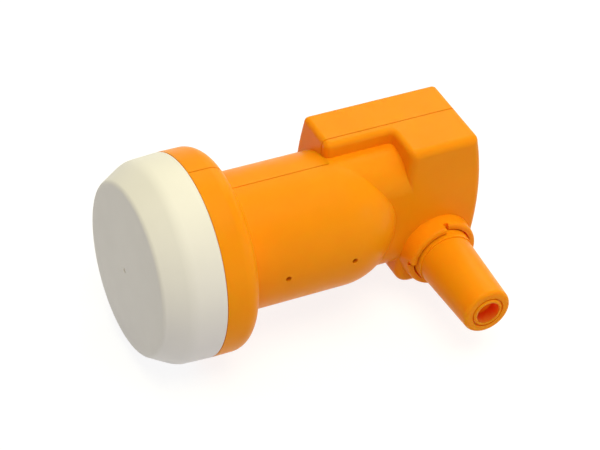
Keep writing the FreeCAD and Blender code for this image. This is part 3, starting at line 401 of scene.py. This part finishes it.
def connector_plating():
    """Nickel plating with painted shade in the roots of the thread, and its own colour on the crests and the
    end face.
    """
    material, tree, shader = finish("connector_plating", (0.70, 0.69, 0.67), tone=0.06, rough=(0.18, 0.32),
                                    cloud=3 * MM, relief=0.003 * MM, metal=1.0)
    crest = named_mount("f_thread")["dims"]["r_mm"] * MM
    end_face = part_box("connector_body")[0].y + THREAD_CHAMFER
    radius, along = outlet_place(tree)
    # Painted shade: darker towards the roots of the thread, none on the crests or the end face.
    height = map_range(tree, radius, (crest - THREAD_DEPTH, crest), (0.0, 1.0))
    clear_of_painted_shade = calculate(tree, "MAXIMUM", height, calculate(tree, "LESS_THAN", along, end_face))
    plating = shader.inputs["Base Color"].links[0].from_socket
    tree.links.new(blend_colours(tree, clear_of_painted_shade, THREAD_ROOT_PAINTED_SHADE, plating), shader.inputs["Base Color"])
    return material


def dress_nodes(finishes):
    """Gives every CAD node the finish of its slot in the record."""
    for part in frame["record"]["subparts"]:
        node = frame["nodes"][part["node"]]
        node.data.materials.clear()
        node.data.materials.append(finishes[part["material_slot"]])


def new_piece(name, points, faces):
    """Object of a closed mesh, its faces turned outwards and smooth but for sharp edges."""
    mesh = bpy.data.meshes.new(name)
    mesh.from_pydata(points, [], faces)
    form = bmesh.new()
    form.from_mesh(mesh)
    bmesh.ops.recalc_face_normals(form, faces=form.faces)
    form.to_mesh(mesh)
    form.free()
    mesh.shade_smooth()
    mesh.set_sharp_from_angle(angle=math.radians(SHARP_ANGLE))
    piece = bpy.data.objects.new(name, mesh)
    bpy.context.scene.collection.objects.link(piece)
    return piece


# Cap in place of the one with a softer face edge
def rounded_corner(before, corner, after, radius):
    """Points of the arc that rounds a corner of a profile."""
    back = (before - corner).normalized()
    on = (after - corner).normalized()
    half = back.angle(on) / 2
    reach = radius / math.tan(half)
    centre = corner + (back + on).normalized() * radius / math.sin(half)
    start = corner + reach * back - centre
    end = corner + reach * on - centre
    shares = [step / CAP_ARC_STEPS for step in range(CAP_ARC_STEPS + 1)]
    return [centre + radius * start.lerp(end, share).normalized() for share in shares]


def cap_profile():
    """Half section of the cap, from the middle of its face outside to the middle of its face inside."""
    low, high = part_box("feed_cap")
    tip = low.x
    rim = tip + CAP_DEPTH
    edge = Vector((tip + CAP_FACE_RISE, CAP_FACE_RADIUS))
    band = Vector((rim - CAP_BAND, high.z - CAP_BAND_DRAFT))
    rim_edge = Vector((rim, high.z))
    sleeve_outer = high.z - CAP_SLEEVE_INSET
    sleeve_inner = sleeve_outer - CAP_SLEEVE_WALL
    sphere = (CAP_FACE_RADIUS ** 2 + CAP_FACE_RISE ** 2) / (2 * CAP_FACE_RISE)

    def dome(start, end, inset):
        points = []
        for step in range(CAP_DOME_STEPS + 1):
            radius = start + (end - start) * step / CAP_DOME_STEPS
            points.append(Vector((tip + inset + sphere - math.sqrt(sphere ** 2 - radius ** 2), radius)))
        return points

    gate = [Vector((tip + CAP_GATE_DEPTH, 0.0)), Vector((tip + CAP_GATE_DEPTH, CAP_GATE_RADIUS))]
    face = dome(CAP_GATE_RADIUS, CAP_FACE_RADIUS - 2 * CAP_FACE_ROUND, 0.0)
    edge_arc = rounded_corner(face[-1], edge, band, CAP_FACE_ROUND)
    band_arc = rounded_corner(edge, band, rim_edge, CAP_BAND_ROUND)
    rim_arc = rounded_corner(band, rim_edge, Vector((rim, sleeve_outer)), CAP_RIM_ROUND)
    sleeve = [
        Vector((rim, sleeve_outer)),
        Vector((high.x, sleeve_outer)),
        Vector((high.x, sleeve_inner)),
        Vector((rim - CAP_LEDGE, sleeve_inner)),
        Vector((rim - CAP_LEDGE, high.z - CAP_WALL - CAP_BAND_DRAFT * CAP_LEDGE / CAP_BAND)),
        Vector((band.x, band.y - CAP_WALL)),
    ]
    inside = dome(CAP_FACE_RADIUS - CAP_WALL / 2, 0.0, CAP_WALL)
    return gate + face + edge_arc + band_arc + rim_arc + sleeve + inside


def turned_piece(name, profile, steps):
    """Object of a profile turned about the X axis, which it meets at both ends."""
    points = [(profile[0].x, 0.0, 0.0)]
    for place in profile[1:-1]:
        for step in range(steps):
            angle = 2 * math.pi * step / steps
            points.append((place.x, place.y * math.cos(angle), place.y * math.sin(angle)))
    points.append((profile[-1].x, 0.0, 0.0))
    rows = len(profile) - 2
    last = 1 + (rows - 1) * steps
    faces = []
    for step in range(steps):
        after = (step + 1) % steps
        faces.append((0, 1 + step, 1 + after))
        faces.append((len(points) - 1, last + after, last + step))
        for row in range(rows - 1):
            here = 1 + row * steps
            there = here + steps
            faces.append((here + step, there + step, there + after, here + after))
    return new_piece(name, points, faces)


def crisp_cap(material):
    """The cap with the edge of its face as crisp as the moulded one."""
    piece = turned_piece("crisp_cap", cap_profile(), CAP_TURN_STEPS)
    piece.data.materials.append(material)
    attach(piece, "housing")
    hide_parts("feed_cap")


# Threaded connector in place of the plain one
def ringed_piece(name, rings):
    """Object of a mesh through rings of points, the last joined to the first."""
    count = len(rings[0])
    points = [point for ring in rings for point in ring]
    faces = []
    for row in range(len(rings)):
        here = row * count
        there = (row + 1) % len(rings) * count
        for column in range(count):
            after = (column + 1) % count
            faces.append((here + column, here + after, there + after, there + column))
    return new_piece(name, points, faces)


def threaded_connector(material):
    """F connector with its helical thread, shank, flange and spigot."""
    low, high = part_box("connector_body")
    insulator_low, insulator_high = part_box("connector_insulator")
    bore = (insulator_high.x - insulator_low.x) / 2
    mount = named_mount("f_thread")
    thread_radius = mount["dims"]["r_mm"] * MM
    thread_start = mount["pos_m"][1] + mount["dims"]["length_mm"] * MM / 2
    flange_radius = (high.x - low.x) / 2
    axis = Vector(((low.x + high.x) / 2, 0.0, (low.z + high.z) / 2))
    flange_rear = high.y - SPIGOT_LENGTH
    flange_front = flange_rear - FLANGE_THICKNESS

    def ring(y, radius):
        points = []
        for step in range(THREAD_TURN_STEPS):
            turn = step / THREAD_TURN_STEPS
            reach = radius(turn) if callable(radius) else radius
            angle = 2 * math.pi * turn
            points.append(axis + Vector((reach * math.cos(angle), y, reach * math.sin(angle))))
        return points

    def thread_at(y):
        chamfer = thread_radius - max(0.0, THREAD_CHAMFER - (y - low.y))

        def radius(turn):
            phase = (y / THREAD_PITCH + turn) % 1.0
            crest = thread_radius - THREAD_DEPTH * abs(2 * phase - 1)
            return min(crest, chamfer)
        return radius

    rings = [ring(low.y, bore), ring(low.y, thread_radius - THREAD_CHAMFER)]
    steps = round((thread_start - low.y) / THREAD_PITCH * THREAD_PITCH_STEPS)
    for step in range(1, steps + 1):
        y = low.y + (thread_start - low.y) * step / steps
        rings.append(ring(y, thread_at(y)))
    rings.append(ring(thread_start, SHANK_RADIUS))
    rings.append(ring(flange_front, SHANK_RADIUS))
    rings.append(ring(flange_front, flange_radius))
    rings.append(ring(flange_rear, flange_radius))
    rings.append(ring(flange_rear, SPIGOT_RADIUS))
    rings.append(ring(high.y, SPIGOT_RADIUS))
    rings.append(ring(high.y, bore))
    piece = ringed_piece("threaded_connector", rings)
    piece.data.materials.append(material)
    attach(piece, "housing")
    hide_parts("connector_body")


# Studio
def camera_axes():
    """Right, up and back directions of the camera before its roll."""
    azimuth = math.radians(CAMERA_AZIMUTH)
    elevation = math.radians(CAMERA_ELEVATION)
    level = math.cos(elevation)
    back = Vector((math.sin(azimuth) * level, -math.cos(azimuth) * level, math.sin(elevation)))
    right = Vector((math.cos(azimuth), math.sin(azimuth), 0.0))
    return right, back.cross(right), back


def add_camera():
    right, up, back = camera_axes()
    cosine = math.cos(math.radians(CAMERA_ROLL))
    sine = math.sin(math.radians(CAMERA_ROLL))
    rolled_right = cosine * right + sine * up
    rolled_up = cosine * up - sine * right
    turned = Matrix((rolled_right, rolled_up, back)).transposed().to_4x4()
    camera = bpy.data.cameras.new("camera")
    camera.sensor_width = SENSOR_WIDTH
    camera.lens = FOCAL_PIXELS * SENSOR_WIDTH / IMAGE_WIDTH
    camera.clip_start = CAMERA_NEAREST
    camera.clip_end = CAMERA_FARTHEST
    holder = bpy.data.objects.new("camera", camera)
    holder.matrix_world = Matrix.Translation(CAMERA_TARGET + CAMERA_DISTANCE * back) @ turned
    bpy.context.scene.collection.objects.link(holder)
    bpy.context.scene.camera = holder


def seen_directly(tree):
    """1 for camera, glossy and transmission rays, 0 for the rays that light the object."""
    path = tree.nodes.new("ShaderNodeLightPath")
    glossy = calculate(tree, "MAXIMUM", path.outputs["Is Camera Ray"], path.outputs["Is Glossy Ray"])
    return calculate(tree, "MAXIMUM", glossy, path.outputs["Is Transmission Ray"])


def choose_by_ray(tree, lighting, seen):
    """One shader for the rays that light the object, another for those that see the surface itself."""
    choice = tree.nodes.new("ShaderNodeMixShader")
    tree.links.new(seen_directly(tree), choice.inputs["Fac"])
    tree.links.new(lighting, choice.inputs[1])
    tree.links.new(seen, choice.inputs[2])
    return choice.outputs["Shader"]


def diffuse_with_glow(tree, grey, strength, tint):
    """Grey surface that also gives light of its own."""
    diffuse = tree.nodes.new("ShaderNodeBsdfDiffuse")
    diffuse.inputs["Color"].default_value = (grey, grey, grey, 1.0)
    glow = tree.nodes.new("ShaderNodeEmission")
    glow.inputs["Color"].default_value = (*tint, 1.0)
    glow.inputs["Strength"].default_value = strength
    both = tree.nodes.new("ShaderNodeAddShader")
    tree.links.new(diffuse.outputs["BSDF"], both.inputs[0])
    tree.links.new(glow.outputs["Emission"], both.inputs[1])
    return both.outputs["Shader"]


def add_floor():
    """Pale floor under the object that keeps its shadow."""
    half = FLOOR_SIZE / 2
    corners = [(-half, -half), (half, -half), (half, half), (-half, half)]
    mesh = bpy.data.meshes.new("floor")
    mesh.from_pydata([(x, y, cad_low.z) for x, y in corners], [], [(0, 1, 2, 3)])
    floor = bpy.data.objects.new("floor", mesh)
    bpy.context.scene.collection.objects.link(floor)
    material = bpy.data.materials.new("floor")
    material.use_nodes = True
    tree = material.node_tree
    tree.nodes.clear()
    output = tree.nodes.new("ShaderNodeOutputMaterial")
    lighting = diffuse_with_glow(tree, FLOOR_BOUNCE, FLOOR_LIFT, FLOOR_TINT)
    seen = diffuse_with_glow(tree, FLOOR_SHADED, FLOOR_GLOW, WHITE)
    tree.links.new(choose_by_ray(tree, lighting, seen), output.inputs["Surface"])
    mesh.materials.append(material)


def add_world():
    """White surroundings, seen at full white and lighting the object at a plain level."""
    world = bpy.data.worlds.new("studio")
    world.use_nodes = True
    tree = world.node_tree
    tree.nodes.clear()
    output = tree.nodes.new("ShaderNodeOutputWorld")
    lighting = tree.nodes.new("ShaderNodeBackground")
    lighting.inputs["Color"].default_value = (*WORLD_TINT, 1.0)
    lighting.inputs["Strength"].default_value = WORLD_LEVEL
    seen = tree.nodes.new("ShaderNodeBackground")
    seen.inputs["Color"].default_value = (*WHITE, 1.0)
    seen.inputs["Strength"].default_value = 1.0
    choice = choose_by_ray(tree, lighting.outputs["Background"], seen.outputs["Background"])
    tree.links.new(choice, output.inputs["Surface"])
    bpy.context.scene.world = world


def add_lamp(name, towards, distance, size, level, tint):
    """Soft square lamp that looks at the object from a direction, set by the level it lights it to."""
    lamp = bpy.data.lights.new(name, "AREA")
    lamp.shape = "SQUARE"
    lamp.size = size
    lamp.energy = level * math.pi ** 2 * distance ** 2
    lamp.color = tint
    holder = bpy.data.objects.new(name, lamp)
    direction = towards.normalized()
    holder.location = CAMERA_TARGET + direction * distance
    holder.rotation_mode = "QUATERNION"
    holder.rotation_quaternion = direction.to_track_quat("Z", "Y")
    bpy.context.scene.collection.objects.link(holder)


def add_lamps():
    right = camera_axes()[0]
    away = Vector((-right.y, right.x, 0.0))
    above = Vector((0.0, 0.0, 1.0))
    for name, lamp in LAMPS.items():
        up_share, right_share, away_share = lamp["direction"]
        towards = up_share * above + right_share * right + away_share * away
        add_lamp(name, towards, lamp["distance"], lamp["size"], lamp["level"], lamp["tint"])


FINISHES = {
    "cap_plastic": cap_plastic(),
    "housing_plastic": housing_plastic(),
    "boot_plastic": boot_plastic(),
    "seal_rubber": seal_rubber(),
    "absorber": absorber(),
    "casting": casting(),
    "screw_steel": screw_steel(),
    "board": board(),
    "contact_brass": contact_brass(),
    "insulation": insulation(),
    "ceramic": ceramic(),
    "chip_plastic": chip_plastic(),
    "can_steel": can_steel(),
    "connector_plating": connector_plating(),
}
dress_nodes(FINISHES)
crisp_cap(FINISHES["cap_plastic"])
threaded_connector(FINISHES["connector_plating"])
add_camera()
add_floor()
add_world()
add_lamps()
bpy.context.scene.view_settings.view_transform = "Standard"
